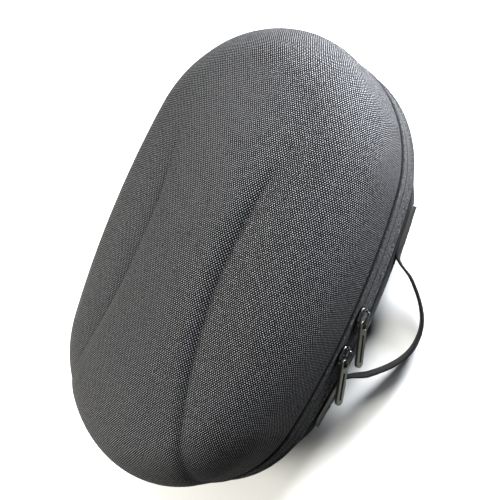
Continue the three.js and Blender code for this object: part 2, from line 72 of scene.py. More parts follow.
# The base's rolled upper edge, as insets and depths below its top
BASE_ROLL = [(0.0, 1.1), (0.22, 0.45), (0.7, 0.08), (1.4, 0.0)]
TUCK_MIDDLE = 17.0
TUCK_REACH = 19.0
TUCK_ROUND = (0.15, 0.45)
FLOOR_RINGS = (103.0, 80.0, 60.0, 45.0)

# The lid's two creases
CREASE_HALF_WIDTH = 39.0
CREASE_SPREAD = 13.7
CREASE_DEPTH = 4.5
CREASE_TAIL_DEPTH = 1.4
CREASE_HEAD_DEPTH = 0.3
PANEL_REACH = 13.0
FLANK_REACH = 28.0
CREASE_FADE = 42.0
SHADE_PANEL = 4.6
SHADE_FLANK = 1.9
SHADE_SHIFT = -0.5
SHADE_DEPTH = 0.42
SHADE_FAR_CREASE = 0.7

# Zip band
CLEARANCE = 0.3
TAPE_OUTER = 1.2
TAPE_INNER = 2.7
LIP_INSET = 3.0
LIP_HEIGHT = 8.0
GROOVE = 0.6
SEAM_GAP = 0.35
TAPE_LOW = BASE_Z + GROOVE
TAPE_HIGH = SEAM_Z - SEAM_GAP / 2
ROLL = 1.7
ROLL_MIDDLE = 2.2
ROLL_REACH = 1.9
HINGE_HALF = 70.0
BAND_STEP = 1.8

# Handle
HANDLE_X = 3.0
HANDLE_SPAN = 53.0
HANDLE_TAB = 37.0
HANDLE_REACH = 34.0
HANDLE_TILT = math.radians(25)
HANDLE_HALF_WIDTH = 9.0
HANDLE_THICK = 2.3
HANDLE_Z = 25.0
ARCH_FULLNESS = 2.2
ARCH_EASE = 1.45
HANDLE_BLEND = 16.0
BORDER_DEPTH = 0.35
DIP_DEPTH = 0.75
TAB_BACK = [0, 1.5, 4.5, 9]
TAB_SHARE = [0.4, 0.72, 0.94, 1]
STRAP_TIP = HANDLE_SPAN + HANDLE_TAB

# Shallow recesses of the tabs: distance of the middle from the tip, half length, half width
TAB_DIPS = [(11.5, 4.2, 4.4), (23.5, 4.2, 4.8)]

# How much of the near tab's painted highlight the far tab shows
FAR_TAB_HIGHLIGHT = 0.12

# Sliders and pull tabs
SLIDER_LENGTH = 15.0
SLIDER_WIDTH = 9.5
SLIDER_HEIGHT = 2.9
BRIDGE_OPENING = 8.5
BRIDGE_HEADROOM = 3.3
BRIDGE_BAR = 1.15
BRIDGE_WIDTH = 2.2
BRIDGE_ROUND = 1.5
PULL_LENGTH = 33.0
PULL_WIDTH = 7.2
PULL_THICK = 2.2
EYE_LENGTH = 5.0
EYE_WIDTH = 4.2
EYE_CORNER = 0.8
EYE_BAR = 1.6
PULL_GROOVE_WIDTH = 2.2
PULL_GROOVE_DEPTH = 0.7
PULL_TWIST = math.radians(-10)
PULL_SLACK = 0.15
PULL_DROOP = math.radians(8)
PULL_LIFT = math.radians(15)
SLIDER_PLACES = {"1": 3.5, "2": -26.5}
SHARP_ANGLE = math.radians(38)
PIVOT_X = -(BRIDGE_OPENING / 2 - PULL_THICK * 0.75)
PIVOT_Z = SLIDER_HEIGHT + BRIDGE_HEADROOM / 2

# Camera, fitted to the photograph's outline, rim and creases
CAMERA_PLACE = (0.051285, -0.306396, 0.501841)
FOCAL_SHARE = 696.6 / 500
SENSOR_WIDTH = 36
RIGHT = Vector((0.3966, -0.7399, -0.5434)).normalized()
FORWARD = Vector((-0.0737, 0.5644, -0.8222)).normalized()
DOWN = FORWARD.cross(RIGHT).normalized()
RIGHT = DOWN.cross(FORWARD).normalized()

camera = bpy.data.objects.new("camera", bpy.data.cameras.new("camera"))
bpy.context.collection.objects.link(camera)
camera.matrix_world = (
    Matrix.Translation(CAMERA_PLACE)
    @ Matrix((RIGHT, -DOWN, -FORWARD)).transposed().to_4x4()
)
camera.data.sensor_width = SENSOR_WIDTH
camera.data.lens = SENSOR_WIDTH * FOCAL_SHARE
camera.data.clip_start = 0.01
camera.data.clip_end = 50
bpy.context.scene.camera = camera

# Node helpers


class Nodes:
    """A material under construction."""

    def __init__(self, name):
        self.material = bpy.data.materials.new(name)
        self.material.use_nodes = True
        self.tree = self.material.node_tree
        self.shader = self.tree.nodes["Principled BSDF"]

    def add(self, kind, inputs=(), **settings):
        node = self.tree.nodes.new("ShaderNode" + kind)
        for key, value in settings.items():
            setattr(node, key, value)
        for key, value in dict(inputs).items():
            self.put(node.inputs[key], value)
        return node

    def put(self, socket, value):
        if isinstance(value, bpy.types.NodeSocket):
            self.tree.links.new(value, socket)
        elif isinstance(value, bpy.types.Node):
            self.tree.links.new(value.outputs[0], socket)
        else:
            socket.default_value = value

    def math(self, operation, *values):
        return self.add("Math", enumerate(values), operation=operation).outputs[0]

    def step(self, value, low, high):
        """0 up to low and 1 from high on, with a smooth rise between."""
        inputs = {"Value": value, "From Min": low, "From Max": high}
        return self.add("MapRange", inputs, interpolation_type="SMOOTHSTEP").outputs[0]

    def height(self):
        """The height above the floor in metres."""
        return self.add("SeparateXYZ", {"Vector": object_place(self)}).outputs["Z"]

    def painted(self, name):
        """The value that the mesh's own points carry under the name."""
        return self.add("Attribute", attribute_name=name).outputs["Fac"]

    def vector(self, operation, *values):
        node = self.add("VectorMath", enumerate(values), operation=operation)
        return node.outputs["Value" if operation in ("DOT_PRODUCT", "LENGTH") else "Vector"]

    def noise(self, vector, scale, detail=2.0, roughness=0.5):
        node = self.add(
            "TexNoise",
            {"Vector": vector, "Scale": scale, "Detail": detail, "Roughness": roughness},
        )
        return node.outputs["Fac"]

    def ramp(self, value, *stops):
        """A colour ramp: stops are (place, grey level or colour)."""
        node = self.add("ValToRGB", {"Fac": value})
        stops = [(place, (c,) * 3 if isinstance(c, (int, float)) else c) for place, c in stops]
        elements = node.color_ramp.elements
        while len(elements) < len(stops):
            elements.new(0.5)
        for element, (place, colour) in zip(elements, stops):
            element.position = place
            element.color = (*colour, 1)
        return node.outputs["Color"]

    def mix(self, share, first, second):
        node = self.add("Mix", data_type="RGBA")
        self.put(node.inputs["Factor"], share)
        for key, value in (("A", first), ("B", second)):
            socket = next(s for s in node.inputs if s.name == key and s.type == "RGBA")
            self.put(socket, (*value, 1) if isinstance(value, tuple) else value)
        return next(s for s in node.outputs if s.type == "RGBA")

    def bump(self, height, distance, strength=1.0):
        inputs = {"Height": height, "Distance": distance, "Strength": strength}
        return self.add("Bump", inputs).outputs["Normal"]

    def wear(self, **inputs):
        for key, value in inputs.items():
            self.put(self.shader.inputs[key.replace("_", " ")], value)
        return self.material


def surface_place(nodes):
    """The place on the cloth in millimetres, laid flat."""
    return nodes.add("Attribute", attribute_name="cloth_place").outputs["Vector"]


def object_place(nodes):
    return nodes.add("TexCoord").outputs["Object"]


# Materials
THREAD_CONTRAST = (0.55, 0.92)
RIB_PITCH = 1.15
ROW_PITCH = 1.35
# Distances from the seam, in metres, over which painted shade darkens the tape's rolled edges and
# its seam
ROLLED_EDGE_SHADE = (0.0098, 0.0108)
SEAM_SHADE = (0.0008, 0.0002)


def woven(name, ground, thread, waves, tint, depth=0.0003, sheen=0.0, shade_heights=None):
    """Coarse cloth: three plane waves cross in rows of round bright threads on a dark ground.
    waves holds the rows' wave vectors in cycles for each millimetre. When heights are given, the
    cloth below them is darkened with painted shade for the groove under the lid's edge, and the
    creases get painted shade as well."""
    n = Nodes(name)
    place = surface_place(n)
    wander = n.add("TexNoise", {"Vector": place, "Scale": 0.09, "Detail": 2.0}).outputs["Color"]
    wander = n.vector("SUBTRACT", wander, (0.5, 0.5, 0.5))
    place = n.vector("ADD", place, n.vector("MULTIPLY", wander, (0.9, 0.9, 0.0)))
    total = 0.0
    for x, y in waves:
        phase = n.vector("DOT_PRODUCT", place, (2 * math.pi * x, 2 * math.pi * y, 0.0))
        total = n.math("ADD", total, n.math("COSINE", phase))
    height = n.math("MULTIPLY_ADD", total, 1 / (1.5 * len(waves)), 1 / 3)
    dots = n.step(height, *THREAD_CONTRAST)
    uneven = n.noise(place, 0.95, 2.0, 0.7)
    dots = n.math("MULTIPLY", dots, n.math("MULTIPLY_ADD", uneven, 3.8, -0.9))
    dots = n.math("MAXIMUM", dots, 0.0)
    broad = n.noise(object_place(n), 9.0, 3.0)
    ground = n.mix(n.math("MULTIPLY", broad, 0.6), ground, tint)
    colour = n.mix(dots, ground, thread)
    if shade_heights is not None:
        # Painted shade: the cloth turns near black below the lid's edge, where the groove over the
        # zip lies in shade
        lid_edge_shade = n.step(n.height(), shade_heights[1] / 1000, shade_heights[0] / 1000)
        colour = n.mix(lid_edge_shade, colour, (0.0008, 0.0008, 0.001))
        # Painted shade along the creases
        colour = n.mix(n.painted("crease_shade"), colour, (0.0012, 0.0012, 0.0015))
    fine = n.noise(place, 6.0, 2.0)
    relief = n.math("MULTIPLY_ADD", fine, 0.25, height)
    return n.wear(
        Base_Color=colour,
        Roughness=n.math("MULTIPLY_ADD", dots, -0.1, 0.8),
        Normal=n.bump(relief, depth, 1.0),
        Sheen_Weight=sheen,
        Sheen_Roughness=0.4,
        Specular_IOR_Level=0.02,
    )


lid_cloth = woven(
    "lid_cloth_weave",
    ground=(0.0012, 0.0012, 0.0014),
    thread=(0.1, 0.1, 0.101),
    waves=[(0.377, 0.608), (0.377, -0.555), (0.754, 0.054)],
    tint=(0.003, 0.0034, 0.0048),
    shade_heights=LID_EDGE_SHADE,
)
base_cloth = woven(
    "base_cloth_weave",
    ground=(0.0014, 0.0015, 0.002),
    thread=(0.006, 0.0064, 0.008),
    waves=[(0.5, 0.78), (0.5, -0.72), (1.0, 0.06)],
    tint=(0.0022, 0.0024, 0.0033),
    depth=0.0001,
    sheen=0.02,
)


def knit(name):
    """Rough knit tape: short ribs across the band, with fuzz and pale flecks."""
    n = Nodes(name)
    place = surface_place(n)
    wander = n.noise(place, 0.5, 2.0)
    along = n.add("SeparateXYZ", {"Vector": place}).outputs
    bend = n.math("MULTIPLY", wander, 2.4)
    ribs = n.math("SINE", n.math("MULTIPLY_ADD", along["X"], 2 * math.pi / RIB_PITCH, bend))
    rows = n.math("SINE", n.math("MULTIPLY_ADD", along["Y"], 2 * math.pi / ROW_PITCH, bend))
    cells = n.math("MULTIPLY_ADD", n.math("MULTIPLY", ribs, rows), 0.32, 0.5)
    fleck = n.noise(place, 0.6, 3.0, 0.9)
    height = n.math("ADD", cells, n.math("MULTIPLY_ADD", fleck, 2.4, -0.75))
    colour = n.ramp(
        n.math("MULTIPLY_ADD", height, 0.5, 0.06),
        (0.38, (0.0005, 0.0005, 0.0007)),
        (0.56, (0.0022, 0.0023, 0.0026)),
        (0.76, (0.05, 0.051, 0.052)),
    )
    # Painted shade: the outer edges, where they roll in towards the grooves, and the seam are
    # darkened as if they lay in shade
    from_seam = n.math("ABSOLUTE", n.math("SUBTRACT", n.height(), SEAM_Z / 1000))
    dark = n.math("MAXIMUM", n.step(from_seam, *ROLLED_EDGE_SHADE), n.step(from_seam, *SEAM_SHADE))
    colour = n.mix(dark, colour, (0.0012, 0.0012, 0.0014))
    return n.wear(
        Base_Color=colour,
        Roughness=0.92,
        Normal=n.bump(height, 0.0005, 1.0),
        Sheen_Weight=0.02,
        Sheen_Roughness=0.5,
        Specular_IOR_Level=0.05,
    )


tape_knit = knit("zip_tape_knit")


def coil(name):
    """Covered zip coil: fine ribs across the chain."""
    n = Nodes(name)
    place = object_place(n)
    turn = n.add("TexVoronoi", {"Vector": place, "Scale": 900.0}).outputs["Distance"]
    colour = n.ramp(turn, (0.1, 0.012), (0.7, 0.035))
    return n.wear(Base_Color=colour, Roughness=0.55, Normal=n.bump(turn, 0.0003, 0.8))


coil_black = coil("zip_coil")


def rubber(name):
    """Smooth soft strap: faint grain and cloudy tone, paler where a highlight is painted on its
    raised edges.
    """
    n = Nodes(name)
    place = surface_place(n)
    grain = n.noise(place, 2.6, 4.0, 0.65)
    cloudy = n.noise(place, 0.12, 2.0)
    colour = n.mix(cloudy, (0.0015, 0.0016, 0.0017), (0.003, 0.0032, 0.003))
    # Painted highlight on the tabs' raised edges
    colour = n.mix(n.painted("rim_highlight"), colour, (0.045, 0.045, 0.04))
    rough = n.math("MULTIPLY_ADD", grain, 0.3, 0.5)
    return n.wear(
        Base_Color=colour,
        Roughness=rough,
        Normal=n.bump(grain, 0.00008, 0.6),
        Specular_IOR_Level=0.04,
        Coat_Weight=0.01,
        Coat_Roughness=0.2,
    )


strap_rubber = rubber("strap_rubber_smooth")


def metal(name, dark, light, rough, scratches):
    """Plated zinc: slight clouding and fine scratches."""
    n = Nodes(name)
    place = object_place(n)
    cloudy = n.noise(place, 220.0, 3.0, 0.6)
    stretched = n.vector("MULTIPLY", place, (900.0, 6500.0, 6500.0))
    lines = n.noise(stretched, 1.0, 2.0, 0.6)
    colour = n.mix(cloudy, dark, light)
    roughness = n.math("MULTIPLY_ADD", cloudy, scratches, rough)
    return n.wear(
        Base_Color=colour,
        Metallic=1.0,
        Roughness=roughness,
        Normal=n.bump(lines, 0.00001, 0.4),
    )


slider_metal = metal("slider_enamel", (0.030, 0.031, 0.034), (0.055, 0.056, 0.060), 0.16, 0.12)
pull_metal = metal("pull_gunmetal", (0.034, 0.034, 0.029), (0.062, 0.062, 0.052), 0.28, 0.16)
# The pull's groove: the gunmetal darkened with painted shade for the recess
groove_shade_metal = metal("pull_groove_painted_shade", (0.007, 0.007, 0.006), (0.014, 0.014, 0.012), 0.34, 0.16)

# Mesh helpers


def add_object(name, verts, faces, material, place=None, body="case", stands_for=()):
    """A smooth-shaded mesh from points in millimetres. place holds each point's place on the
    cloth laid flat."""
    mesh = bpy.data.meshes.new(name)
    mesh.from_pydata((np.asarray(verts) / 1000).tolist(), [], np.asarray(faces).tolist())
    if place is not None:
        layer = mesh.attributes.new("cloth_place", "FLOAT_VECTOR", "POINT")
        layer.data.foreach_set("vector", np.ascontiguousarray(place, dtype=np.float32).ravel())
    mesh.shade_smooth()
    obj = bpy.data.objects.new(name, mesh)
    bpy.context.collection.objects.link(obj)
    mesh.materials.append(material)
    dress(obj, body, stands_for)
    return obj


def dress(obj, body, stands_for):
    if stands_for:
        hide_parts(*stands_for)
    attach(obj, body)


def paint(obj, name, values):
    """Gives each point of the mesh a value for its material."""
    layer = obj.data.attributes.new(name, "FLOAT", "POINT")
    layer.data.foreach_set("value", values.astype(np.float32).ravel())


def weld(obj, distance=2e-6):
    """Merges the points where rings meet, and drops what has no area."""
    b = bmesh.new()
    b.from_mesh(obj.data)
    bmesh.ops.remove_doubles(b, verts=b.verts, dist=distance)
    bmesh.ops.dissolve_degenerate(b, edges=b.edges, dist=distance / 2)
    bmesh.ops.recalc_face_normals(b, faces=b.faces)
    b.to_mesh(obj.data)
    b.free()
    obj.data.shade_smooth()


def grid_faces(rows, columns):
    """Quads between rings of points, rows times columns."""
    r, c = np.meshgrid(np.arange(rows - 1), np.arange(columns), indexing="ij")
    r2, c2 = r + 1, (c + 1) % columns
    quads = [r * columns + c, r * columns + c2, r2 * columns + c2, r2 * columns + c]
    return np.stack(quads, -1).reshape(-1, 4)


def capped_faces(rows, columns):
    """A tube's quads and its two flat ends."""
    faces = grid_faces(rows, columns).tolist()
    faces.append(list(range(columns))[::-1])
    faces.append(list(range((rows - 1) * columns, rows * columns)))
    return np.array(faces, dtype=object)


def steps_along(points):
    """The length from the first point to each point of a line."""
    return np.concatenate([[0], np.cumsum(np.linalg.norm(np.diff(points, axis=0), axis=1))])


def smoothstep(x, low, high):
    t = np.clip((x - low) / (high - low), 0, 1)
    return t * t * (3 - 2 * t)


def lerp(a, b, t):
    return a + (b - a) * t


# The oval


def outward(angle):
    return np.cos(angle), np.sin(angle)


def oval(angle, inset):
    """The point of the oval that faces the angle, inside the outline by the inset."""
    nx, ny = outward(angle)
    on_end = np.abs(ny) < math.sin(JOIN)
    radius = np.where(on_end, END_R, SIDE_R) - inset
    x = np.where(on_end, np.sign(nx) * END_X, 0.0) + radius * nx
    y = np.where(on_end, 0.0, -np.sign(ny) * SIDE_Y) + radius * ny
    return x, y


def side_angle(x, inset):
    return math.acos(x / (SIDE_R - inset))


def whole_turn(quarter):
    """One quarter's angles, an array along its last axis, repeated round the oval."""
    mirrored = math.pi - quarter[..., -2::-1]
    half = np.concatenate([quarter, mirrored], -1)
    return np.concatenate([half, 2 * math.pi - half[..., -2:0:-1]], -1)


def outline_lengths(fine):
    """The length along the outline from the first angle to each of the fine angles."""
    x, y = oval(fine, 0.0)
    return np.concatenate([[0], np.cumsum(np.hypot(np.diff(x), np.diff(y)))])


def even_turn(count):
    """Angles at even steps along the whole outline."""
    fine = np.linspace(0, 2 * math.pi, 20001)
    along = outline_lengths(fine)
    return np.interp(np.linspace(0, along[-1], count, endpoint=False), along, fine)


def between(start, end):
    """Angles from start to end at even steps along the outline."""
    fine = np.linspace(start, end, 6001)
    along = outline_lengths(fine)
    count = int(along[-1] / BAND_STEP) + 1
    return np.interp(np.linspace(0, along[-1], count), along, fine)


def flat_place(points, normals, level):
    """Lays rings of points flat. The first rings, as many as level, are seen from above, and each
    later ring lies out from the one before by the real step."""
    place = points * (1, 1, 0)
    for i in range(level, len(points)):
        step = points[i] - points[i - 1]
        length = np.linalg.norm(step, axis=-1, keepdims=True)
        way = step[:, :2] + 0.3 * length * normals
        way /= np.linalg.norm(way, axis=-1, keepdims=True)
        place[i, :, :2] = place[i - 1, :, :2] + way * length
    return place


# Lid


def crease_y(x):
    return CREASE_HALF_WIDTH + CREASE_SPREAD * (x / 100) ** 2


def crease_across(x, y):
    """The distance from the nearer crease, positive on the flank's side."""
    return (np.abs(y) - crease_y(x)) / np.hypot(1, 2 * CREASE_SPREAD * x / 100**2)


def crease_sink(x, y, z):
    """How deep the cloth sinks there for the crease."""
    across = crease_across(x, y)
    reach = np.where(across < 0, PANEL_REACH, FLANK_REACH)
    share = np.clip(1 - np.abs(across) / reach, 0, None)
    tail = lerp(CREASE_DEPTH, CREASE_TAIL_DEPTH, smoothstep(-x / HALF_LENGTH, 0.25, 0.8))
    head = lerp(CREASE_DEPTH, CREASE_HEAD_DEPTH, smoothstep(x / HALF_LENGTH, 0.1, 0.6))
    depth = np.where(x < 0, tail, head)
    return depth * share**2 * smoothstep(z - RIM_Z, 0, CREASE_FADE)


def crease_shade(x, y, z):
    """How much painted shade darkens the cloth along a crease, most on the panel's side. It fades
    towards the lid's edge and along the crease's head."""
    across = crease_across(x, y) - SHADE_SHIFT
    width = np.where(across < 0, SHADE_PANEL, SHADE_FLANK)
    line = np.exp(-((across / width) ** 2)) * smoothstep(z - RIM_Z, 6, 30)
    strength = SHADE_DEPTH * (1 - smoothstep(x / HALF_LENGTH, 0.1, 0.6))
    return line * np.where(y > 0, SHADE_FAR_CREASE, 1.0) * strength


def crease_angle(inset):
    """Where the crease crosses the oval, for an array of insets."""
    low, high = np.zeros_like(inset), np.full_like(inset, math.pi / 2)
    for _ in range(40):
        middle = (low + high) / 2
        x, y = oval(middle, inset)
        beyond = y > crease_y(x)
        low, high = np.where(beyond, low, middle), np.where(beyond, middle, high)
    return low


def dome_at(angle):
    nx, ny = outward(angle)
    slope = np.zeros_like(angle)
    for _ in range(8):
        inset = SHOULDER * (1 - np.sin(slope))
        z = RIM_Z + LID_WALL + SHOULDER * np.cos(slope)
        x, y = oval(angle, inset)
        slope = np.arctan2(2 * (CREST_Z - z), x * nx + y * ny)
    return x, y, z, slope


DOME_SLOPE = max(float(dome_at(np.array([a]))[3][0]) for a in (0.0, math.pi / 2))
EDGE_INSET = SHOULDER * (1 - math.sin(DOME_SLOPE))
PANEL_SHARES = np.linspace(0, 1, 56) ** 0.9
FLANK_SHARES = np.linspace(0, 1, 40)[1:]
SIDE_SHARES = np.linspace(0, 1, 44)[1:]


def lid_angles(inset):
    """The columns' angles for rings at the insets. One column follows the crease."""
    crease = crease_angle(np.minimum(inset, EDGE_INSET))[:, None]
    return whole_turn(
        np.concatenate(
            [
                PANEL_SHARES * crease,
                lerp(crease, JOIN, FLANK_SHARES),
                lerp(JOIN, math.pi / 2, SIDE_SHARES) + 0 * crease,
            ],
            -1,
        )
    )


def shell_points(x, y, z, nx, ny, nz, depth):
    sink = depth + crease_sink(x, y, z)
    return np.stack([x - nx * sink, y - ny * sink, z - nz * sink], -1)


def lid_wall(heights, depth):
    angle = lid_angles(np.zeros(len(heights)))
    x, y = oval(angle, 0.0)
    z = RIM_Z + np.array(heights)[:, None] + 0 * x
    return shell_points(x, y, z, *outward(angle), 0, depth), angle


def lid_shoulder(shares, depth):
    shares = np.array(shares)
    nominal = SHOULDER * (1 - np.cos(shares * (math.pi / 2 - DOME_SLOPE)))
    angle = lid_angles(nominal)
    turn = shares[:, None] * (math.pi / 2 - dome_at(angle)[3])
    x, y = oval(angle, SHOULDER * (1 - np.cos(turn)))
    z = RIM_Z + LID_WALL + SHOULDER * np.sin(turn)
    nx, ny = outward(angle)
    points = shell_points(x, y, z, nx * np.cos(turn), ny * np.cos(turn), np.sin(turn), depth)
    return points, angle


def lid_dome(flank, panel, middle, depth):
    """Rings of the dome from the shoulder's edge inwards: to the crease, over the valley's inner
    slope, and on to the centre."""
    angle = lid_angles(np.array([EDGE_INSET]))[0]
    ex, ey, ez, slope = dome_at(angle)
    nx, ny = outward(angle)
    support = ex * nx + ey * ny
    square = CREASE_SPREAD * (ex / 100) ** 2
    root = np.sqrt(np.clip(ey**2 - 4 * CREASE_HALF_WIDTH * square, 0, None))
    crease = 2 * CREASE_HALF_WIDTH / np.maximum(np.abs(ey) + root, 1e-9)
    crease = np.where(np.abs(ey) <= crease_y(ex), 1.0, crease)
    valley = np.clip(crease - PANEL_REACH / support, 0, None)
    rings = [lerp(1.0, crease, t) for t in flank]
    rings += [lerp(crease, valley, t) for t in panel]
    rings += [valley * (1 - t) for t in middle]
    share = np.array(rings)
    x, y = ex * share, ey * share
    z = CREST_Z - (CREST_Z - ez) * share**2
    fall = np.arctan(np.tan(slope) * share)
    points = shell_points(x, y, z, nx * np.sin(fall), ny * np.sin(fall), np.cos(fall), depth)
    return points, np.broadcast_to(angle, share.shape)


def stack(*blocks):
    return [np.concatenate(rows, 0) for rows in zip(*blocks)]


def plain_rings(profile, angle):
    """Rings of the plain oval at (inset, z)."""
    rings = []
    for inset, z in profile:
        x, y = oval(angle, inset)
        rings.append(np.stack([x, y, np.full_like(x, z)], -1))
    return np.array(rings), np.broadcast_to(angle, (len(profile), len(angle)))


def make_lid():
    flank = np.linspace(0, 1, 20)[1:] ** 0.8
    panel = np.linspace(0, 1, 12)[1:] ** 1.3
    middle = np.linspace(0, 1, 17)[1:]
    outer, angles = stack(
        lid_dome(flank, panel, middle, 0.0),
        lid_shoulder(np.linspace(1, 0, 25)[1:], 0.0),
        lid_wall(np.linspace(LID_WALL, LID_EDGE, 13)[1:], 0.0),
    )
    count = len(flank) + len(panel) + len(middle)
    order = np.r_[np.arange(count)[::-1], np.arange(count, len(outer))]
    outer, angles = outer[order], angles[order]
    # The first ring is the centre, and the shoulder's top ring was the dome's outermost one
    columns = lid_angles(np.zeros(1))[0]
    edge, edge_angles = plain_rings(
        [(inset, RIM_Z + above) for inset, above in LID_ROLL]
        + [(LIP_INSET, RIM_Z), (LIP_INSET, RIM_Z - LIP_HEIGHT), (WALL, RIM_Z - LIP_HEIGHT)],
        columns,
    )
    inner, _ = stack(
        lid_wall(np.linspace(LID_WALL / 2, LID_WALL, 2), WALL),
        lid_shoulder(np.linspace(0, 1, 7)[1:], WALL),
        lid_dome([0.5, 1.0], [0.3, 1.0], [0.5, 1.0], WALL),
    )
    points = np.concatenate([outer, edge, inner], 0)
    angles = np.concatenate([angles, edge_angles], 0)
    normals = np.stack(outward(columns), -1)
    place = np.zeros_like(points)
    skin_rings = len(outer) + len(LID_ROLL)
    place[:skin_rings] = flat_place(points[:skin_rings], normals, count)
    place[skin_rings:] = points[skin_rings:] * (1, 1, 0)
    lid = add_object(
        "lid_cover",
        points.reshape(-1, 3),
        grid_faces(*points.shape[:2]),
        lid_cloth,
        place.reshape(-1, 3),
        stands_for=["lid_shell"],
    )
    paint(lid, "crease_shade", crease_shade(*points.reshape(-1, 3).T))
    weld(lid)
    return lid


lid_cover = make_lid()

# Base


def base_corner(turn, wall):
    inset = CORNER_REACH - (CORNER_REACH - wall) * np.cos(turn)
    return inset, CORNER_DROP - (CORNER_DROP - wall) * np.sin(turn)


def make_base():
    columns = even_turn(460)
    turns = np.linspace(0, math.pi / 2, 25)
    corner = [base_corner(t, 0.0) for t in turns[1:]]
    inner_corner = [base_corner(t, WALL) for t in turns[::4]]
    profile = [(inset, 0.0) for inset in FLOOR_RINGS] + corner[::-1] + [(0.0, CORNER_DROP)]
    profile += [(inset, BASE_Z - below) for inset, below in BASE_ROLL]
    skin_rings = len(profile)
    profile += [(LIP_INSET, BASE_Z), (LIP_INSET, BASE_Z + LIP_HEIGHT), (WALL, BASE_Z + LIP_HEIGHT)]
    profile += inner_corner + [(60.0, WALL), (103.0, WALL)]
    points, _ = plain_rings(profile, columns)
    normals = np.stack(outward(columns), -1)
    # Round the ends the wall tucks in further under the zip band
    tuck = END_TUCK * np.clip(1 - ((points[..., 2] - TUCK_MIDDLE) / TUCK_REACH) ** 2, 0, 1)
    tuck = tuck * smoothstep(np.abs(normals[:, 0]), *TUCK_ROUND)
    tuck = tuck * np.clip((90 - np.array(profile)[:, :1]) / 30, 0, 1)
    points[..., :2] -= normals * tuck[..., None]
    place = points * (1, 1, 0)
    place[:skin_rings] = flat_place(points[:skin_rings], normals, len(FLOOR_RINGS) + 1)
    base = add_object(
        "base_cover",
        points.reshape(-1, 3),
        capped_faces(*points.shape[:2]),
        base_cloth,
        place.reshape(-1, 3),
        stands_for=["base_shell"],
    )
    weld(base)
    return base


base_cover = make_base()

# Zip tapes and hinge strip


def tape_section(low, high, rolled_low, rolled_high):
    """A band's section from its inner bottom corner round to its inner top corner. A rolled edge
    swells outwards and then turns in towards its groove."""
    z = lerp(low, high, np.linspace(0, 1, 27))
    inset = np.full_like(z, TAPE_OUTER - 0.2)
    for rolled, edge, way in ((rolled_low, low, 1), (rolled_high, high, -1)):
        back = (z - edge) * way
        if rolled:
            inset = inset - ROLL * np.exp(-(((back - ROLL_MIDDLE) / ROLL_REACH) ** 2))
            inset = inset + 2.2 * np.clip(1 - back / 1.3, 0, 1) ** 2
        else:
            inset = inset + 0.2 * np.clip(1 - back / 0.5, 0, 1) ** 2
    return [(TAPE_INNER + 0.8, low), *zip(inset, z), (TAPE_INNER + 0.8, high)]


def make_band(name, angles, section, stands_for):
    """A band of knit cloth swept along the oval, closed at its ends."""
    insets, heights = np.array(section).T
    x, y = oval(angles[:, None], insets[None, :])
    points = np.stack([x, y, np.broadcast_to(heights, x.shape)], -1)
    along = steps_along(points[:, len(section) // 2])
    around = steps_along(points[0])
    place = np.zeros_like(points)
    place[..., 0] = along[:, None]
    place[..., 1] = around[None, :]
    band = add_object(
        name,
        points.reshape(-1, 3),
        capped_faces(*points.shape[:2]),
        tape_knit,
        place.reshape(-1, 3),
        stands_for=stands_for,
    )
    weld(band)


zip_end = side_angle(HINGE_HALF + CLEARANCE, TAPE_INNER)
zip_angles = between(zip_end, -math.pi - zip_end)
hinge_end = side_angle(HINGE_HALF, TAPE_INNER)
make_band(
    "zip_tape_lower_knit",
    zip_angles,
    tape_section(TAPE_LOW, TAPE_HIGH, True, False),
    ["zip_tape_lower"],
)
make_band(
    "zip_tape_upper_knit",
    zip_angles,
    tape_section(2 * SEAM_Z - TAPE_HIGH, 2 * SEAM_Z - TAPE_LOW, False, True),
    ["zip_tape_upper"],
)
make_band(
    "hinge_strip_knit",
    between(math.pi - hinge_end, hinge_end),
    tape_section(TAPE_LOW, 2 * SEAM_Z - TAPE_LOW, True, True),
    ["hinge_strip"],
)

# Handle


def base_wall(z):
    turn = np.arcsin(np.clip((CORNER_DROP - z) / CORNER_DROP, 0, 1))
    inset = base_corner(turn, 0.0)[0]
    return inset, np.arctan2(np.sin(turn) * CORNER_REACH, np.cos(turn) * CORNER_DROP)


def tab_point(x, v, o):
    tilt = base_wall(np.array(HANDLE_Z))[1]
    z = HANDLE_Z + v * np.cos(tilt)
    inset, wall_tilt = base_wall(z)
    angle = -np.arccos(x / (SIDE_R - inset))
    nx, ny = outward(angle)
    px, py = oval(angle, inset)
    return np.stack(
        [
            px + nx * np.cos(wall_tilt) * o,
            py + ny * np.cos(wall_tilt) * o,
            z - np.sin(wall_tilt) * o,
        ],
        -1,
    )


def arch_centre(x):
    share = np.clip(np.abs(x - HANDLE_X) / HANDLE_SPAN, 0, 1)
    out = HANDLE_REACH * (1 - share**ARCH_FULLNESS) ** ARCH_EASE
    direction = np.array([0, -math.cos(HANDLE_TILT), -math.sin(HANDLE_TILT)])
    return tab_point(x, np.zeros_like(x), np.zeros_like(x)) + out[..., None] * direction


def strap_point(x, v, o):
    across = np.array([0, -math.sin(HANDLE_TILT), math.cos(HANDLE_TILT)])
    along = arch_centre(x + 0.5) - arch_centre(x - 0.5)
    along /= np.linalg.norm(along, axis=-1, keepdims=True)
    normal = -np.cross(np.broadcast_to(across, along.shape), along)
    arch = arch_centre(x) + v[..., None] * across + o[..., None] * normal
    past = HANDLE_SPAN - np.abs(x - HANDLE_X)
    free = smoothstep(past, 0, HANDLE_BLEND)[..., None]
    return lerp(tab_point(x, v, o), arch, free)


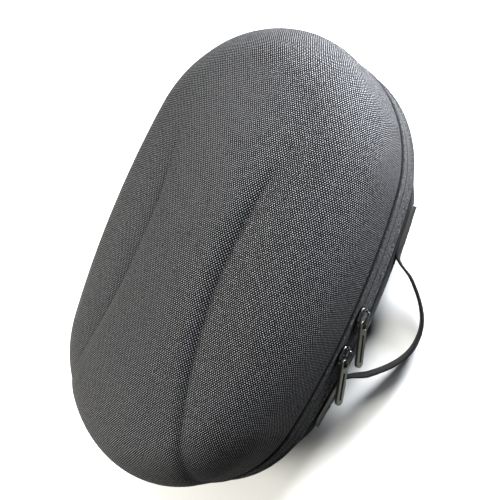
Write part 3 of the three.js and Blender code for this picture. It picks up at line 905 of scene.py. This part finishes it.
def make_handle():
    reach = np.concatenate(
        [
            np.linspace(STRAP_TIP, STRAP_TIP - 10, 26)[:-1],
            np.linspace(STRAP_TIP - 10, HANDLE_SPAN, 50)[:-1],
            np.linspace(HANDLE_SPAN, 0, 90),
        ]
    )
    reach = np.concatenate([reach, -reach[-2::-1]])
    back = STRAP_TIP - np.abs(reach)
    half = HANDLE_HALF_WIDTH * np.interp(back, TAB_BACK, TAB_SHARE)
    # One turn round the section: outer face, edge, inner face, edge
    across = np.linspace(-1, 1, 25)
    edge = np.linspace(-math.pi / 2, math.pi / 2, 7)[1:-1]
    radius = HANDLE_THICK / 2
    flat = (half - radius)[:, None]
    bulge = flat + radius * np.cos(edge)
    edge_height = radius - radius * np.sin(edge)
    v = np.concatenate([flat * across, bulge, flat * across[::-1], -bulge[:, ::-1]], 1)
    heights = [0 * across + HANDLE_THICK, edge_height, 0 * across, edge_height[::-1]]
    o = CLEARANCE + np.concatenate(heights) + 0 * v
    outer = np.arange(v.shape[1])[None, :] < len(across)
    x = HANDLE_X + np.broadcast_to(reach[:, None], v.shape)
    depth = back[:, None]
    # The outer face sinks inside a rolled border, and more so in the tabs' dips
    border = smoothstep(np.abs(v), half[:, None] - 1.4, half[:, None] - 2.6)
    o = o - outer * BORDER_DEPTH * border * smoothstep(depth, 1.5, 3.0)
    # Painted highlight: pale on the tabs' raised rims, their tips and round the dips, as if these
    # caught the light
    on_tab = smoothstep(depth, HANDLE_TAB + 4, HANDLE_TAB - 8)
    rim = smoothstep(np.abs(v), half[:, None] - 2.6, half[:, None] - 1.2)
    rim_highlight = np.maximum(rim, smoothstep(depth, 2.4, 0.8)) * on_tab
    for middle, length, width in TAB_DIPS:
        apart = np.hypot((depth - middle) / length, v / width)
        o = o - outer * DIP_DEPTH * smoothstep(-apart, -1.0, -0.72)
        rim_highlight = np.maximum(rim_highlight, outer * np.exp(-(((apart - 0.95) / 0.16) ** 2)))
    # The far tab gets only a little of the painted highlight
    rim_highlight = rim_highlight * np.where(x < HANDLE_X, 1, FAR_TAB_HIGHLIGHT)
    points = strap_point(x, v, o)
    place = np.stack([x, v, o], -1)
    strap = add_object(
        "handle_strap",
        points.reshape(-1, 3),
        capped_faces(*points.shape[:2]),
        strap_rubber,
        place.reshape(-1, 3),
        stands_for=["handle"],
    )
    paint(strap, "rim_highlight", rim_highlight)
    weld(strap)


make_handle()

# Sliders and pull tabs


def seam_matrix(x):
    angle = -side_angle(x, TAPE_OUTER)
    out = Vector((math.cos(angle), math.sin(angle), 0))
    up = Vector((0, 0, 1))
    px, py = oval(np.array(angle), TAPE_OUTER - CLEARANCE)
    basis = Matrix((up.cross(out), up, out)).transposed().to_4x4()
    return Matrix.Translation(Vector((float(px), float(py), SEAM_Z))) @ basis


def bar_outline(length, width, corner, steps=10, centre=0.0):
    """A rounded bar's outline along X, counter-clockwise."""
    points = []
    for sx, sy, start in ((1, -1, -90), (1, 1, 0), (-1, 1, 90), (-1, -1, 180)):
        cx, cy = centre + sx * (length / 2 - corner), sy * (width / 2 - corner)
        for turn in np.radians(np.linspace(start, start + 90, steps)):
            points.append((cx + corner * math.cos(turn), cy + corner * math.sin(turn)))
    return np.array(points)


def plate(name, outlines, low, high, bevel, segments=3):
    """A flat plate from closed outlines, the first its edge and the rest its holes, with its
    edges rounded. Its shape comes from a filled curve."""
    curve = bpy.data.curves.new(name, "CURVE")
    curve.dimensions = "2D"
    curve.fill_mode = "BOTH"
    curve.extrude = (high - low) / 2 - bevel
    curve.bevel_depth = bevel
    curve.bevel_resolution = segments
    curve.offset = -bevel
    for outline in outlines:
        spline = curve.splines.new("POLY")
        spline.points.add(len(outline) - 1)
        spline.use_cyclic_u = True
        for point, (x, y) in zip(spline.points, outline):
            point.co = (x, y, 0, 1)
    holder = bpy.data.objects.new(name, curve)
    bpy.context.collection.objects.link(holder)
    mesh = bpy.data.meshes.new_from_object(holder)
    bpy.data.objects.remove(holder)
    bpy.data.curves.remove(curve)
    mesh.transform(Matrix.Translation((0, 0, (low + high) / 2)))
    return mesh


def carve(target, cutter):
    """target without cutter, as a new mesh."""
    a = bpy.data.objects.new("carved", target)
    b = bpy.data.objects.new("cutter", cutter)
    for obj in (a, b):
        bpy.context.collection.objects.link(obj)
    cut = a.modifiers.new("cut", "BOOLEAN")
    cut.operation = "DIFFERENCE"
    cut.solver = "EXACT"
    cut.object = b
    result = bpy.data.meshes.new_from_object(
        a.evaluated_get(bpy.context.evaluated_depsgraph_get())
    )
    bpy.data.objects.remove(a)
    bpy.data.objects.remove(b)
    return result


def join_meshes(name, meshes):
    b = bmesh.new()
    for mesh in meshes:
        b.from_mesh(mesh)
    bmesh.ops.remove_doubles(b, verts=b.verts, dist=1e-4)
    joined = bpy.data.meshes.new(name)
    b.to_mesh(joined)
    b.free()
    return joined


def add_fitting(name, mesh, matrix, material, body, node):
    """Places a fitting made in millimetres in its own frame, with crisp flats and soft edges."""
    mesh.transform(Matrix.Scale(0.001, 4) @ matrix)
    mesh.materials.clear()
    mesh.materials.append(material)
    obj = bpy.data.objects.new(name, mesh)
    bpy.context.collection.objects.link(obj)
    mesh.shade_smooth()
    mesh.set_sharp_from_angle(angle=SHARP_ANGLE)
    dress(obj, body, [node])


def slider_mesh():
    """A slider: a domed body with a waist at each side, and a bridge over its middle."""
    outline = bar_outline(SLIDER_LENGTH, SLIDER_WIDTH, SLIDER_WIDTH / 2, 14)
    waist = 0.35 * np.exp(-((outline[:, 0] / 2.2) ** 2))
    outline[:, 1] -= np.sign(outline[:, 1]) * waist
    body = plate("body", [outline], 0.0, SLIDER_HEIGHT, 0.9, 5)
    inner = BRIDGE_OPENING / 2
    half = inner + BRIDGE_BAR
    foot = SLIDER_HEIGHT - 1.0
    crown = SLIDER_HEIGHT + BRIDGE_HEADROOM + BRIDGE_BAR
    outer_round = BRIDGE_ROUND + BRIDGE_BAR
    arch = [(half, foot)]
    for turn in np.radians(np.linspace(0, 90, 9)):
        arch.append(
            (half - outer_round + outer_round * math.cos(turn),
             crown - outer_round + outer_round * math.sin(turn))
        )
    arch += [(-x, z) for x, z in arch[::-1]]
    hollow = [(-inner, foot)]
    for turn in np.radians(np.linspace(180, 90, 9)):
        hollow.append(
            (-inner + BRIDGE_ROUND + BRIDGE_ROUND * math.cos(turn),
             crown - BRIDGE_BAR - BRIDGE_ROUND + BRIDGE_ROUND * math.sin(turn))
        )
    hollow += [(-x, z) for x, z in hollow[::-1]]
    bridge = plate(
        "bridge", [np.array(arch + hollow)], -BRIDGE_WIDTH / 2, BRIDGE_WIDTH / 2, 0.3, 3
    )
    bridge.transform(Matrix.Rotation(math.pi / 2, 4, "X"))
    return join_meshes("slider", [body, bridge])


def pull_mesh():
    """A pull tab: a bar with round ends, an eye at its heel and a long groove in its face."""
    tip, heel = PULL_LENGTH, -EYE_BAR / 2
    edge = bar_outline(tip - heel, PULL_WIDTH, PULL_WIDTH / 2, 14, -(tip + heel) / 2)
    eye = bar_outline(EYE_LENGTH, EYE_WIDTH, EYE_CORNER, 6, -(EYE_BAR + EYE_LENGTH) / 2)
    bar = plate("bar", [edge, eye[::-1]], -PULL_THICK / 2, PULL_THICK / 2, 0.4, 3)
    start = EYE_BAR / 2 + EYE_LENGTH + PULL_WIDTH / 2
    end = tip - PULL_WIDTH / 2
    slot = bar_outline(end - start, PULL_GROOVE_WIDTH, PULL_GROOVE_WIDTH / 2, 8, -(start + end) / 2)
    groove = plate("groove", [slot], PULL_THICK / 2 - PULL_GROOVE_DEPTH, 3.0, 0.25, 2)
    pull = carve(bar, groove)
    sunk = [
        face.index
        for face in pull.polygons
        if -end < face.center.x < -start
        and abs(face.center.y) < PULL_GROOVE_WIDTH / 2 + 0.01
        and 0 < face.center.z < PULL_THICK / 2 - 0.05
    ]
    return pull, sunk


for number, x in SLIDER_PLACES.items():
    seam = seam_matrix(x)
    add_fitting(
        f"slider_{number}_body", slider_mesh(), seam, slider_metal, "case",
        f"slider_{number}",
    )
    hang = (
        Matrix.Translation((PIVOT_X, 0, PIVOT_Z))
        @ Matrix.Rotation(PULL_DROOP, 4, "Z")
        @ Matrix.Rotation(PULL_LIFT, 4, "Y")
        @ Matrix.Translation((0, 0, PULL_SLACK))
        @ Matrix.Rotation(PULL_TWIST, 4, "X")
    )
    mesh, sunk = pull_mesh()
    add_fitting(
        f"pull_{number}_tab", mesh, seam @ hang, pull_metal, f"pull_{number}",
        f"pull_{number}",
    )
    # The groove's faces get the darker material, painted shade in the recess
    mesh.materials.append(groove_shade_metal)
    for index in sunk:
        mesh.polygons[index].material_index = 1

# The zip's chain keeps its shape from the frame
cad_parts["zip_chain"].material_slots[0].material = coil_black

# Floor, light and surroundings
FLOOR_REACH = 12.0
LIT_POINT = Vector((0, 0, 0.07))


def stage_floor():
    n = Nodes("pale_floor")
    faint = n.noise(object_place(n), 3.0, 3.0)
    material = n.wear(
        Base_Color=n.mix(faint, (0.235, 0.235, 0.235), (0.245, 0.245, 0.245)),
        Roughness=0.9,
    )
    mesh = bpy.data.meshes.new("floor")
    signs = ((-1, -1), (1, -1), (1, 1), (-1, 1))
    corners = [(x * FLOOR_REACH, y * FLOOR_REACH, 0) for x, y in signs]
    mesh.from_pydata(corners, [], [(0, 1, 2, 3)])
    mesh.materials.append(material)
    floor = bpy.data.objects.new("floor", mesh)
    bpy.context.collection.objects.link(floor)


def add_light(name, data, at, colour):
    """Hangs a light that shines on the case."""
    data.color = colour
    light = bpy.data.objects.new(name, data)
    light.location = at
    light.rotation_mode = "QUATERNION"
    light.rotation_quaternion = (LIT_POINT - Vector(at)).to_track_quat("-Z", "Y")
    light.visible_camera = False
    bpy.context.collection.objects.link(light)


def soft_light(name, at, size, power, colour):
    data = bpy.data.lights.new(name, "AREA")
    data.shape = "RECTANGLE"
    data.size, data.size_y = size
    data.energy = power
    add_light(name, data, at, colour)


def soft_sun(name, at, width, strength, colour):
    """Even light from one side, as wide across the sky as width in degrees."""
    data = bpy.data.lights.new(name, "SUN")
    data.angle = math.radians(width)
    data.energy = strength
    add_light(name, data, at, colour)


stage_floor()
soft_sun("window", (0.95, 0.1, 1.0), 32, 19, (1.0, 0.99, 0.95))
soft_light("far_side", (-0.9, 0.9, 0.7), (0.8, 0.6), 112, (1.0, 0.975, 0.88))
soft_light("overhead", (0.1, 0.1, 2.0), (1.4, 1.4), 30, (0.96, 0.98, 1.0))
soft_light("corner", (0.43, -0.17, 0.17), (0.12, 0.12), 27, (0.92, 0.95, 1.0))

world = bpy.data.worlds.new("studio")
world.use_nodes = True
tree = world.node_tree
glow = tree.nodes["Background"]
glow.inputs["Color"].default_value = (1, 1, 1, 1)
glow.inputs["Strength"].default_value = 0.04
backdrop = tree.nodes.new("ShaderNodeBackground")
backdrop.inputs["Color"].default_value = (0.93, 0.94, 0.95, 1)
seen = tree.nodes.new("ShaderNodeLightPath")
blend = tree.nodes.new("ShaderNodeMixShader")
tree.links.new(seen.outputs["Is Camera Ray"], blend.inputs[0])
tree.links.new(glow.outputs[0], blend.inputs[1])
tree.links.new(backdrop.outputs[0], blend.inputs[2])
tree.links.new(blend.outputs[0], tree.nodes["World Output"].inputs["Surface"])
bpy.context.scene.world = world
bpy.context.scene.view_settings.view_transform = "Standard"

bpy.context.view_layer.update()
